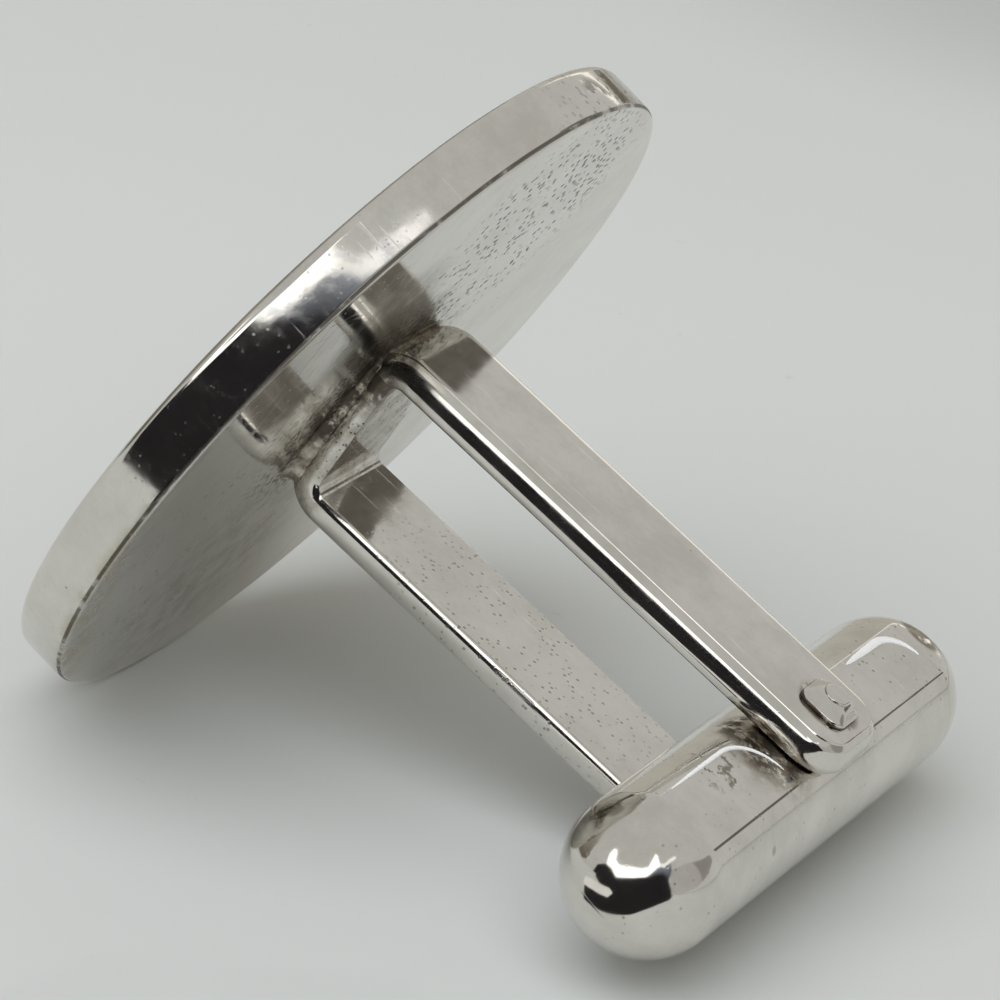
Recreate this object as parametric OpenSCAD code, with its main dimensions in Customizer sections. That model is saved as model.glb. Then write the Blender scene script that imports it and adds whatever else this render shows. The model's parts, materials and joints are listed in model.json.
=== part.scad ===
// Round cufflink with a swivelling bullet toggle, in millimetres.
// The face lies on Z = 0 with its front down, the post frame stands up from the middle of its back,
// and the toggle lies along Y in its closed, cross-wise position.

/* [Face] */
// Diameter of the round face
face_d = 20.8; // [16:0.1:26]
// Thickness of the face at its rim
face_t = 1.6; // [1.4:0.05:2.4]
// Rounding of the rim's front edge
front_round = 0.3; // [0.1:0.05:0.4]
// Rounding of the rim's back edge
back_round = 0.16; // [0.05:0.01:0.3]
// Width of the raised lip around the front inlay
lip_w = 1.1; // [0.7:0.05:2]
// Depth of the recess that holds the inlay
recess_depth = 0.8; // [0.7:0.05:1]
// Rounding of the lip's inner edge
lip_round = 0.12; // [0.05:0.01:0.2]

/* [Inlay] */
// Thickness of the front inlay
inlay_t = 0.6; // [0.4:0.05:0.6]
// Thickness of the adhesive behind the inlay
adhesive_t = 0.1; // [0.05:0.01:0.1]
// Rounding of the inlay's front edge
inlay_round = 0.1; // [0.05:0.01:0.2]
// Gap between the inlay's edge and the wall of the recess
inlay_gap = 0.05; // [0.02:0.01:0.1]

/* [Post frame] */
// Width of the strip that the frame is bent from
strip_w = 3.3; // [2.8:0.1:3.8]
// Thickness of the strip
strip_t = 0.9; // [0.8:0.05:1.2]
// Rounding of the strip's two outer edges
strip_round = 0.5; // [0.2:0.05:0.7]
// Rounding of the strip's two inner edges
strip_edge_round = 0.06; // [0.03:0.01:0.1]
// Clear gap between the two legs
leg_gap = 3.9; // [3.7:0.05:4.4]
// Inside radius of the two bends at the foot
bend_r = 0.3; // [0.2:0.05:0.6]
// Height of the pin's axis above the back of the face
pivot_h = 14.2; // [12:0.1:17]
// How far the leg ends reach past the pin's axis
leg_end = 1.35; // [1.2:0.05:1.6]
// Corner radius of the leg ends
leg_corner = 1.1; // [0.9:0.05:1.3]
// Lean of the frame off square to the face, in degrees
post_lean = 3; // [0:0.5:6]
// How deep the foot is filed flat to meet the face
foot_filed = 0.09; // [0.02:0.01:0.2]

/* [Solder] */
// How far the solder fillet climbs up the foot
solder_rise = 0.45; // [0.2:0.05:0.6]
// How far the fillet reaches out beyond the strip's edges
solder_reach = 0.25; // [0.1:0.05:0.4]
// Corner radius of the fillet's outline on the face
solder_corner = 0.7; // [0.4:0.1:1]

/* [Toggle] */
// Diameter of the bullet toggle
toggle_d = 4.2; // [4.1:0.1:4.8]
// Length of the toggle over its round ends
toggle_len = 17.7; // [15:0.1:19]
// Gap between each flat of the toggle and the leg beside it
side_gap = 0.06; // [0.03:0.01:0.1]
// Diameter of the bore along the toggle
bore_d = 2.6; // [2.4:0.05:2.7]
// Length of the end plug's spigot inside the bore
spigot_len = 1.4; // [1:0.1:2]
// Gap around the spigot
spigot_gap = 0.01; // [0.01:0.01:0.03]

/* [Pin] */
// Diameter of the pin's two round journals
journal_d = 1.3; // [1.3:0.05:1.5]
// Gap around each journal in the toggle's cross bore
journal_gap = 0.03; // [0.01:0.01:0.06]
// Width across the flats of the square parts of the pin
square_w = 0.9; // [0.7:0.05:0.9]
// Length of the square part inside the toggle
square_len = 1.6; // [1.4:0.1:1.8]
// Gap around the square tails in the legs' holes
tail_gap = 0.02; // [0.01:0.01:0.04]
// Width of each riveted head, along the toggle
head_w = 1.3; // [1.2:0.05:1.6]
// Height of each riveted head, along the legs
head_len = 1.42; // [1.2:0.02:1.6]
// How far each head stands out from its leg
head_rise = 0.4; // [0.3:0.02:0.6]
// Corner radius of each head
head_corner = 0.35; // [0.2:0.05:0.5]
// Radius of the dome on each head
dome_r = 1.5; // [1.3:0.1:2]
// How much of the dome's crown is flattened
crown_flat = 0.04; // [0.02:0.01:0.08]

/* [Detent spring] */
// Width of the leaf spring
leaf_w = 1.2; // [0.8:0.1:1.3]
// Thickness of the leaf spring
leaf_t = 0.2; // [0.1:0.02:0.24]
// Gap between the leaf and the corners of the pin as they pass
leaf_gap = 0.04; // [0.02:0.01:0.06]
// Gap between the ends of the leaf and the bore's wall
leaf_seat_gap = 0.02; // [0.01:0.01:0.04]
// Gap between each end of the leaf and the end of its chamber
leaf_end_gap = 0.1; // [0.05:0.05:0.3]

/* [Hidden] */
$fn = 96;

// Distance that every cut runs past the surface it opens
overrun = 1;

face_r = face_d / 2;
recess_r = face_r - lip_w;
inlay_r = recess_r - inlay_gap;
inlay_z = recess_depth - adhesive_t - inlay_t;

half_w = strip_w / 2;
half_gap = leg_gap / 2;
outer_half = half_gap + strip_t;
base_half = half_gap - bend_r;
leg_base_z = strip_t + bend_r;
corner_z = pivot_h + leg_end - leg_corner;
corner_y = half_w - leg_corner;

toggle_r = toggle_d / 2;
toggle_half = toggle_len / 2;
barrel_half = toggle_half - toggle_r;
flat_half = half_gap - side_gap;
bore_r = bore_d / 2;
chamber_half = barrel_half - spigot_len;
journal_r = journal_d / 2;

leaf_half = chamber_half - leaf_end_gap;
leaf_top = journal_r + leaf_gap;
leaf_seat = sqrt(pow(bore_r, 2) - pow(leaf_w / 2, 2)) - leaf_seat_gap;
leaf_bow = leaf_seat - leaf_top - leaf_t;
leaf_r = (pow(leaf_half, 2) + pow(leaf_bow, 2)) / (2 * leaf_bow);
// The leaf's arc is a small part of a large circle, so that circle has finer steps
leaf_steps = 720;

// Puts a piece in the frame of the leaning post, whose origin is the middle of the face's back
module on_post() {
    translate([0, 0, face_t]) rotate([0, -post_lean, 0]) children();
}

// Puts a piece in the frame of the pin, with the pin's axis along X
module on_pin() {
    on_post() translate([0, 0, pivot_h]) children();
}

// The waste outside a rounded corner: the quarter beyond an arc about the origin
module corner_waste(r) {
    difference() {
        square(r + overrun);
        circle(r);
    }
}

// A rectangle about the origin with its four corners rounded
module rounded_rect(len, w, r) {
    difference() {
        square([len, w], center = true);
        for (a = [0, 1], b = [0, 1]) mirror([a, 0]) mirror([0, b])
            translate([len / 2 - r, w / 2 - r]) corner_waste(r);
    }
}

// Face plate: a turned disc with a rounded rim and a shallow recess in its front
module face_plate() {
    color([0.76, 0.73, 0.68])
    rotate_extrude() difference() {
        square([face_r, face_t]);
        square([recess_r, recess_depth]);
        translate([face_r - front_round, front_round]) mirror([0, 1]) corner_waste(front_round);
        translate([face_r - back_round, face_t - back_round]) corner_waste(back_round);
        translate([recess_r + lip_round, lip_round]) rotate(180) intersection() {
            corner_waste(lip_round);
            square(lip_round);
        }
    }
}

// Front inlay: a plain thin plate, set just below the lip
module face_inlay() {
    color([0.62, 0.63, 0.64])
    translate([0, 0, inlay_z]) rotate_extrude() difference() {
        square([inlay_r, inlay_t]);
        translate([inlay_r - inlay_round, inlay_round]) mirror([0, 1]) corner_waste(inlay_round);
    }
}

module inlay_adhesive() {
    color([0.85, 0.82, 0.7])
    translate([0, 0, inlay_z + inlay_t]) cylinder(h = adhesive_t, r = inlay_r);
}

// A width of strip that ends in an edge: X runs out to the edge, Y from the inner face
module edge_section(w) {
    difference() {
        square([w, strip_t]);
        translate([w - strip_round, strip_t - strip_round]) corner_waste(strip_round);
        translate([w - strip_edge_round, strip_edge_round]) mirror([0, 1])
            corner_waste(strip_edge_round);
    }
}

// Whole section of the strip: X is its thickness from the inner face, Y its width
module strip_section() {
    rotate(90) mirror([0, 1]) for (side = [0, 1]) mirror([side, 0]) edge_section(half_w);
}

// The rounded end of a leg: an edge run straight across between two corners
module leg_tip() {
    rotate([90, -90, 0]) linear_extrude(2 * corner_y, center = true) mirror([0, 1])
        edge_section(leg_corner);
    for (side = [0, 1]) mirror([0, side, 0]) translate([0, corner_y, 0]) rotate([0, 90, 0])
        rotate(90) rotate_extrude(angle = 90) edge_section(leg_corner);
}

// One leg with its bend at the foot and its rounded end, on the +X side
module leg() {
    translate([half_gap, 0, leg_base_z]) linear_extrude(corner_z - leg_base_z) strip_section();
    translate([base_half, 0, leg_base_z]) rotate([-90, 0, 0])
        rotate_extrude(angle = 90) translate([bend_r, 0]) strip_section();
    translate([half_gap, 0, corner_z]) leg_tip();
}

// The U-shaped strip before its foot is filed and its holes are cut
module bent_strip() {
    translate([0, 0, -foot_filed]) {
        translate([-base_half, 0, strip_t]) rotate([0, 90, 0])
            linear_extrude(2 * base_half) strip_section();
        for (side = [0, 1]) mirror([side, 0, 0]) leg();
    }
}

// Post frame: one strip bent into a U, its foot filed flat to the face, with square pin holes
module post_frame() {
    hole_w = square_w + 2 * tail_gap;
    hole_len = 2 * (outer_half + overrun);
    waste = 4 * outer_half;
    color([0.76, 0.72, 0.67])
    difference() {
        on_post() bent_strip();
        on_pin() cube([hole_len, hole_w, hole_w], center = true);
        translate([0, 0, face_t - waste / 2]) cube(waste, center = true);
    }
}

// A bar along X whose two long sides are hollow fillets rising from its base
module fillet_bar(len, half_base) {
    rotate([90, 0, 90]) translate([0, 0, -len / 2]) linear_extrude(len) difference() {
        translate([-half_base, 0]) square([2 * half_base, solder_rise]);
        for (side = [-1, 1]) translate([side * half_base, solder_rise]) circle(solder_rise);
    }
}

// Solder fillet: a thin hollow bead around the foot of the frame
module solder_fillet() {
    reach_x = outer_half + solder_reach / 2;
    reach_y = half_w + solder_reach;
    color([0.5, 0.47, 0.42])
    difference() {
        translate([0, 0, face_t]) intersection() {
            fillet_bar(2 * (reach_x + overrun), reach_y);
            rotate(90) fillet_bar(2 * (reach_y + overrun), reach_x);
            linear_extrude(solder_rise) rounded_rect(2 * reach_x, 2 * reach_y, solder_corner);
        }
        on_post() bent_strip();
    }
}

// One riveted head, with its base on the origin and its dome towards +X
module rivet_head() {
    intersection() {
        rotate([0, 90, 0]) linear_extrude(head_rise) rounded_rect(head_len, head_w, head_corner);
        translate([head_rise + crown_flat - dome_r, 0, 0]) rotate([0, 90, 0]) sphere(dome_r);
    }
}

// Pivot pin: square where the spring bears and in the legs, round where the toggle turns on it
module pivot_pin() {
    color([0.75, 0.72, 0.67])
    on_pin() {
        cube([2 * outer_half + head_rise, square_w, square_w], center = true);
        for (side = [0, 1]) mirror([side, 0, 0]) {
            translate([square_len / 2, 0, 0]) rotate([0, 90, 0])
                cylinder(h = half_gap - square_len / 2, r = journal_r);
            translate([outer_half, 0, 0]) rivet_head();
        }
    }
}

// The bullet's outer form: a round-ended bar along Y with two long flats facing the legs
module bullet() {
    intersection() {
        rotate([-90, 0, 0]) rotate_extrude() intersection() {
            union() {
                translate([0, -barrel_half]) square([toggle_r, 2 * barrel_half]);
                for (side = [-1, 1]) translate([0, side * barrel_half]) circle(toggle_r);
            }
            translate([0, -toggle_half]) square([toggle_r, toggle_len]);
        }
        cube([2 * flat_half, toggle_len + 2 * overrun, toggle_d + 2 * overrun], center = true);
    }
}

// Toggle body: the bullet with a chamber for the spring, open at +Y, and the cross bore for the pin
module toggle_body() {
    color([0.77, 0.73, 0.68])
    on_pin() difference() {
        bullet();
        translate([0, barrel_half + toggle_r, 0])
            cube([toggle_d + 2 * overrun, 2 * toggle_r, toggle_d + 2 * overrun], center = true);
        translate([0, -chamber_half, 0]) rotate([-90, 0, 0])
            cylinder(h = chamber_half + barrel_half + overrun, r = bore_r);
        rotate([0, 90, 0])
            cylinder(h = 2 * (flat_half + overrun), r = journal_r + journal_gap, center = true);
    }
}

// Toggle plug: the other round end, with a spigot that closes the chamber
module toggle_plug() {
    color([0.77, 0.73, 0.68])
    on_pin() {
        intersection() {
            bullet();
            translate([0, barrel_half + toggle_r, 0])
                cube([toggle_d + 2 * overrun, 2 * toggle_r, toggle_d + 2 * overrun], center = true);
        }
        translate([0, chamber_half, 0]) rotate([-90, 0, 0])
            cylinder(h = spigot_len, r = bore_r - spigot_gap);
    }
}

// Detent spring: a bowed leaf that presses on a flat of the pin and holds the toggle square
module detent_spring() {
    color([0.45, 0.47, 0.5])
    on_pin() rotate([90, 0, 90]) linear_extrude(leaf_w, center = true) intersection() {
        translate([0, -leaf_top - leaf_t - leaf_r]) difference() {
            circle(leaf_r + leaf_t, $fn = leaf_steps);
            circle(leaf_r, $fn = leaf_steps);
        }
        square([2 * leaf_half, toggle_d], center = true);
    }
}

face_plate();
face_inlay();
inlay_adhesive();
post_frame();
solder_fillet();
pivot_pin();
toggle_body();
toggle_plug();
detent_spring();
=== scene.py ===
import json
import math

import bmesh
import bpy
from mathutils import Matrix, Vector


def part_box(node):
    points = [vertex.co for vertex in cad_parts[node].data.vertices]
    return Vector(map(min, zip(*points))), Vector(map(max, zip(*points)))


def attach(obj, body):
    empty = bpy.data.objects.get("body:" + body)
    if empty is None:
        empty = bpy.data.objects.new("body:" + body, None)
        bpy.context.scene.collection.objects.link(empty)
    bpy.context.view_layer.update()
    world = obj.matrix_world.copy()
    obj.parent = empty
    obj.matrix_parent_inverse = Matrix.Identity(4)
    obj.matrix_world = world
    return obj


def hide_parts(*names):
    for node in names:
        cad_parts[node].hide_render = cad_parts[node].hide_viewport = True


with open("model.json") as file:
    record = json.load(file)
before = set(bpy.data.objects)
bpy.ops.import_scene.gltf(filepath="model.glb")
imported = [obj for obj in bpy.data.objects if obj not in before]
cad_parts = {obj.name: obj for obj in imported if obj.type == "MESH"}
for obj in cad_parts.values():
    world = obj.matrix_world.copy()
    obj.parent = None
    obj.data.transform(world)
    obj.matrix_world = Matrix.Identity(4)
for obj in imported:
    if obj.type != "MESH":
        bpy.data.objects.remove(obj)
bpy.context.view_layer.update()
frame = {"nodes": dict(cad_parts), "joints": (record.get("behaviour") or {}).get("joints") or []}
scene = bpy.context.scene
mm = 0.001

# Where things are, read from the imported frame
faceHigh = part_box("face_plate")[1]
swivel = frame["joints"][0]
pinCentre = Vector(swivel["pos_m"])
pinAxis = Vector(swivel["axis"]).normalized()
postLean = math.atan2(pinAxis.z, pinAxis.x)
backOfFace = Vector((0, 0, faceHigh.z))
pivotHeight = (pinCentre - backOfFace).length
onPost = Matrix.Translation(backOfFace) @ Matrix.Rotation(-postLean, 4, "Y")
onPin = onPost @ Matrix.Translation((0, 0, pivotHeight))


# Shared helpers

def roundedRun(corners, steps=8, hold=0.03 * mm):
    # A run of points through the corners, each given as (x, y, radius), with a close point on each side of an arc
    points = [Vector(corners[0][:2])]
    for before, here, after in zip(corners, corners[1:], corners[2:]):
        corner = Vector(here[:2])
        radius = here[2]
        backward = (Vector(before[:2]) - corner).normalized()
        forward = (Vector(after[:2]) - corner).normalized()
        half = backward.angle(forward) / 2
        centre = corner + (backward + forward).normalized() * radius / math.sin(half)
        start = corner + backward * radius / math.tan(half)
        end = corner + forward * radius / math.tan(half)
        turn = (start - centre).angle_signed(end - centre)
        points.append(start + backward * hold)
        for i in range(steps + 1):
            points.append(centre + Matrix.Rotation(-turn * i / steps, 2) @ (start - centre))
        points.append(end + forward * hold)
    points.append(Vector(corners[-1][:2]))
    return points


def tubeFaces(rings, count):
    # The faces between rings of points that are listed one after the other
    faces = []
    for ring in range(rings - 1):
        for i in range(count):
            j = (i + 1) % count
            faces.append((ring * count + i, ring * count + j, (ring + 1) * count + j, (ring + 1) * count + i))
    return faces


def tubeEnds(rings, count):
    return [tuple(range(count)), tuple(range((rings - 1) * count, rings * count))]


def outwardMesh(name, points, faces):
    mesh = bpy.data.meshes.new(name)
    mesh.from_pydata([tuple(p) for p in points], [], faces)
    shape = bmesh.new()
    shape.from_mesh(mesh)
    bmesh.ops.recalc_face_normals(shape, faces=shape.faces)
    shape.to_mesh(mesh)
    shape.free()
    return mesh


def addObject(name, data):
    made = bpy.data.objects.new(name, data)
    scene.collection.objects.link(made)
    return made


def meshPiece(name, points, faces, material):
    mesh = outwardMesh(name, points, faces)
    mesh.shade_smooth()
    mesh.materials.append(material)
    return addObject(name, mesh)


def seat(piece, body, node):
    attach(piece, body)
    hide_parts(node)


def newTree(name, sizes):
    # An empty Geometry Nodes tree with a geometry input, the named sizes and a material
    tree = bpy.data.node_groups.new(name, "GeometryNodeTree")
    sockets = tree.interface
    sockets.new_socket("Geometry", in_out="INPUT", socket_type="NodeSocketGeometry")
    for label, value in sizes.items():
        kind = "NodeSocketInt" if isinstance(value, int) else "NodeSocketFloat"
        sockets.new_socket(label, in_out="INPUT", socket_type=kind).default_value = value
    sockets.new_socket("Material", in_out="INPUT", socket_type="NodeSocketMaterial")
    sockets.new_socket("Geometry", in_out="OUTPUT", socket_type="NodeSocketGeometry")
    return tree, tree.nodes.new("NodeGroupInput").outputs, tree.nodes.new("NodeGroupOutput")


def add(tree, kind, values=None, **settings):
    node = tree.nodes.new(kind)
    for key, value in settings.items():
        setattr(node, key, value)
    for key, value in (values or {}).items():
        if isinstance(value, bpy.types.NodeSocket):
            tree.links.new(value, node.inputs[key])
        else:
            node.inputs[key].default_value = value
    return node


def maths(tree, operation, *values):
    return add(tree, "ShaderNodeMath", dict(enumerate(values)), operation=operation).outputs[0]


def product(tree, first, *others):
    for other in others:
        first = maths(tree, "MULTIPLY", first, other)
    return first


def closeTree(tree, geometry, given, finish):
    real = add(tree, "GeometryNodeRealizeInstances", {"Geometry": geometry})
    shaded = add(tree, "GeometryNodeSetShadeSmooth", {"Geometry": real.outputs[0]})
    painted = add(tree, "GeometryNodeSetMaterial", {"Geometry": shaded.outputs[0], "Material": given["Material"]})
    tree.links.new(painted.outputs[0], finish.inputs["Geometry"])


def grown(name, tree, sizes, material, place, source=None):
    # The plain mesh that a tree makes, set in its place
    piece = addObject(name, source or bpy.data.meshes.new(name))
    grower = piece.modifiers.new("grow", "NODES")
    grower.node_group = tree
    for socket in tree.interface.items_tree:
        if socket.in_out == "INPUT" and socket.name in sizes:
            grower[socket.identifier] = sizes[socket.name]
        if socket.in_out == "INPUT" and socket.name == "Material":
            grower[socket.identifier] = material
    made = piece.evaluated_get(bpy.context.evaluated_depsgraph_get())
    mesh = bpy.data.meshes.new_from_object(made)
    piece.modifiers.remove(grower)
    piece.data = mesh
    mesh.transform(place)
    return piece


# Metal finishes

def ramp(tree, value, low, high, start=0.0, end=1.0):
    values = {"Value": value, "From Min": low, "From Max": high, "To Min": start, "To Max": end}
    return add(tree, "ShaderNodeMapRange", values, interpolation_type="SMOOTHSTEP").outputs[0]


# Detail and roughness of each kind of noise
grains = {"smooth": (2, 0.5), "patchy": (4, 0.6), "worn": (5, 0.65), "flecked": (5, 0.7), "cloudy": (7, 0.7)}


def noise(tree, place, scale, grain, stretch=None, turn=(0, 0, 0)):
    if stretch:
        place = add(tree, "ShaderNodeMapping", {"Vector": place, "Rotation": turn, "Scale": stretch}).outputs[0]
    detail, roughness = grains[grain]
    values = {"Vector": place, "Scale": scale, "Detail": detail, "Roughness": roughness}
    return add(tree, "ShaderNodeTexNoise", values).outputs["Fac"]


def vectorMaths(tree, operation, first, second, output=0):
    return add(tree, "ShaderNodeVectorMath", {0: first, 1: second}, operation=operation).outputs[output]


def blend(tree, share, first, second, mode="MIX"):
    node = add(tree, "ShaderNodeMix", data_type="RGBA", blend_type=mode)
    for index, value in ((0, share), (6, first), (7, second)):
        if isinstance(value, bpy.types.NodeSocket):
            tree.links.new(value, node.inputs[index])
        else:
            node.inputs[index].default_value = value if index == 0 else (*value, 1)
    return node.outputs[2]


def newMaterial(name):
    material = bpy.data.materials.new(name)
    material.use_nodes = True
    material.node_tree.nodes.clear()
    return material, material.node_tree


def closeMaterial(tree, shader):
    out = add(tree, "ShaderNodeOutputMaterial")
    tree.links.new(shader.outputs[0], out.inputs["Surface"])


plainStain = {"core": 0.3, "soft": 0.15, "dull": 0.3, "depth": 0.0, "squash": (1, 1, 1), "dotEdge": 0.6}


def addStain(tree, place, stain, colour, rough, height):
    # A patch that fades out with distance and is broken up by noise, or by dots
    p = {**plainStain, **stain}
    away = vectorMaths(tree, "SUBTRACT", place, p["centre"])
    away = vectorMaths(tree, "MULTIPLY", away, p["squash"])
    away = add(tree, "ShaderNodeVectorMath", {0: away}, operation="LENGTH").outputs["Value"]
    near = ramp(tree, away, p["radius"], p["radius"] * p["core"])
    patch = ramp(tree, noise(tree, place, p["scale"], "patchy"), p["cover"], p["cover"] + p["soft"])
    if "dots" in p:
        specks = add(tree, "ShaderNodeTexVoronoi", {"Vector": place, "Scale": p["dotScale"]}).outputs["Distance"]
        patch = product(tree, patch, ramp(tree, specks, p["dots"], p["dots"] * p["dotEdge"]))
    share = product(tree, near, patch, p["strength"])
    colour = blend(tree, share, colour, p["colour"])
    rough = maths(tree, "ADD", rough, product(tree, share, p["dull"]))
    height = maths(tree, "SUBTRACT", height, product(tree, share, p["depth"]))
    return colour, rough, height


def addRimWearAndEdgeShade(tree, place, look, colour, rough):
    # Plate worn through along the back edge of the rim, on the side that points down
    z = add(tree, "ShaderNodeSeparateXYZ", {0: place}).outputs[2]
    side = ramp(tree, vectorMaths(tree, "DOT_PRODUCT", place, look["wornSide"], "Value"), *look["wornReach"])
    patch = ramp(tree, noise(tree, place, look["wornScale"], "flecked"), *look["wornCover"])
    share = product(tree, ramp(tree, z, *look["worn"]), side, patch)
    colour = blend(tree, share, colour, look["wornColour"])
    rough = maths(tree, "ADD", rough, product(tree, share, look["wornDull"]))
    # Painted shade: a dark line round the rounded back edge of the rim, broken up by noise
    foot, low, high, top = look["paintedEdgeShade"]
    patch = ramp(tree, noise(tree, place, look["edgeShadeScale"], "patchy"), *look["edgeShadeShare"])
    line = product(tree, ramp(tree, z, foot, low), ramp(tree, z, top, high), patch)
    colour = blend(tree, line, colour, look["edgeShadeColour"])
    return colour, maths(tree, "ADD", rough, product(tree, line, look["edgeShadeDull"]))


def metal(name, look):
    material, tree = newMaterial(name)
    place = add(tree, "ShaderNodeTexCoord").outputs["Object"]
    tone = ramp(tree, noise(tree, place, look["toneScale"], "cloudy"), *look["toneCover"])
    colour = blend(tree, tone, look["colour"], look["shade"])
    wear = noise(tree, place, look["wearScale"], "worn")
    rough = ramp(tree, wear, *look["wearCover"], look["smooth"], look["rough"])
    height = product(tree, noise(tree, place, look["peelScale"], "smooth"), look["peel"])
    # Pits lie in clusters
    cells = add(tree, "ShaderNodeTexVoronoi", {"Vector": place, "Scale": look["pitScale"]}).outputs["Distance"]
    cluster = noise(tree, place, look["pitScale"] / look["pitSpread"], "smooth")
    cluster = ramp(tree, cluster, look["pitCover"], look["pitCover"] + look["pitSoft"])
    pit = product(tree, ramp(tree, cells, look["pitSize"], look["pitSize"] / 2), cluster)
    colour = blend(tree, product(tree, pit, look["pitDirt"]), colour, look["dirt"])
    height = maths(tree, "SUBTRACT", height, product(tree, pit, look["pitDepth"]))
    # Scratches run in a few directions
    for turn, stretch in look["scratches"]:
        line = noise(tree, place, 1.0, "smooth", stretch, turn)
        score = ramp(tree, line, look["scratchCover"], look["scratchCover"] + look["scratchSoft"])
        height = maths(tree, "SUBTRACT", height, product(tree, score, look["scratchDepth"]))
        rough = maths(tree, "ADD", rough, product(tree, score, look["scratchDull"]))
    for stain in look["stains"]:
        colour, rough, height = addStain(tree, place, stain, colour, rough, height)
    if "worn" in look:
        colour, rough = addRimWearAndEdgeShade(tree, place, look, colour, rough)
    normal = add(tree, "ShaderNodeBump", {
        "Height": height, "Distance": look["bumpDepth"], "Strength": look["bump"]}).outputs[0]
    if "lean" in look:
        # The rolled side leans towards the back, more and more towards its back edge
        z = add(tree, "ShaderNodeSeparateXYZ", {0: place}).outputs[2]
        slope = maths(tree, "ADD", look["lean"], product(tree, z, look["leanGrowth"] / 2))
        fall = product(tree, z, slope, -1.0)
        normal = add(tree, "ShaderNodeBump", {
            "Height": fall, "Distance": 1.0, "Strength": 1.0, "Normal": normal}).outputs[0]
    surface = add(tree, "ShaderNodeBsdfPrincipled", {
        "Base Color": colour, "Metallic": look.get("metallic", 1.0), "Roughness": rough, "Normal": normal})
    closeMaterial(tree, surface)
    return material


plated = {
    "colour": (0.755, 0.73, 0.68),
    "shade": (0.64, 0.615, 0.565),
    "dirt": (0.1, 0.08, 0.06),
    "toneScale": 420,
    "toneCover": (0.35, 0.7),
    "wearScale": 700,
    "wearCover": (0.3, 0.75),
    "smooth": 0.09,
    "rough": 0.2,
    "peelScale": 1400,
    "peel": 0.35,
    "pitScale": 2600,
    "pitCover": 0.6,
    "pitSoft": 0.08,
    "pitSpread": 5,
    "pitSize": 0.14,
    "pitDirt": 0.75,
    "pitDepth": 1.0,
    "scratches": [((0.3, 0.2, 0.6), (300, 9000, 300)), ((1.1, 0.7, 2.1), (7000, 250, 250))],
    "scratchCover": 0.68,
    "scratchSoft": 0.05,
    "scratchDepth": 0.25,
    "scratchDull": 0.1,
    "bump": 0.35,
    "bumpDepth": 0.02 * mm,
    "stains": [],
}


# Face plate, turned with a rounded rim and a lip round the inlay

facePlate = {
    "frontRound": 0.3 * mm,
    "backRound": 0.16 * mm,
    "crown": 0.02 * mm,
    "crownPlace": 0.35,
    "lipWidth": 1.1 * mm,
    "lipRound": 0.12 * mm,
    "recess": 0.8 * mm,
    "eye": 0.2 * mm,
    "sideSteps": 12,
    "steps": 360,
    "tolerance": 1e-6,
}

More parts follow.
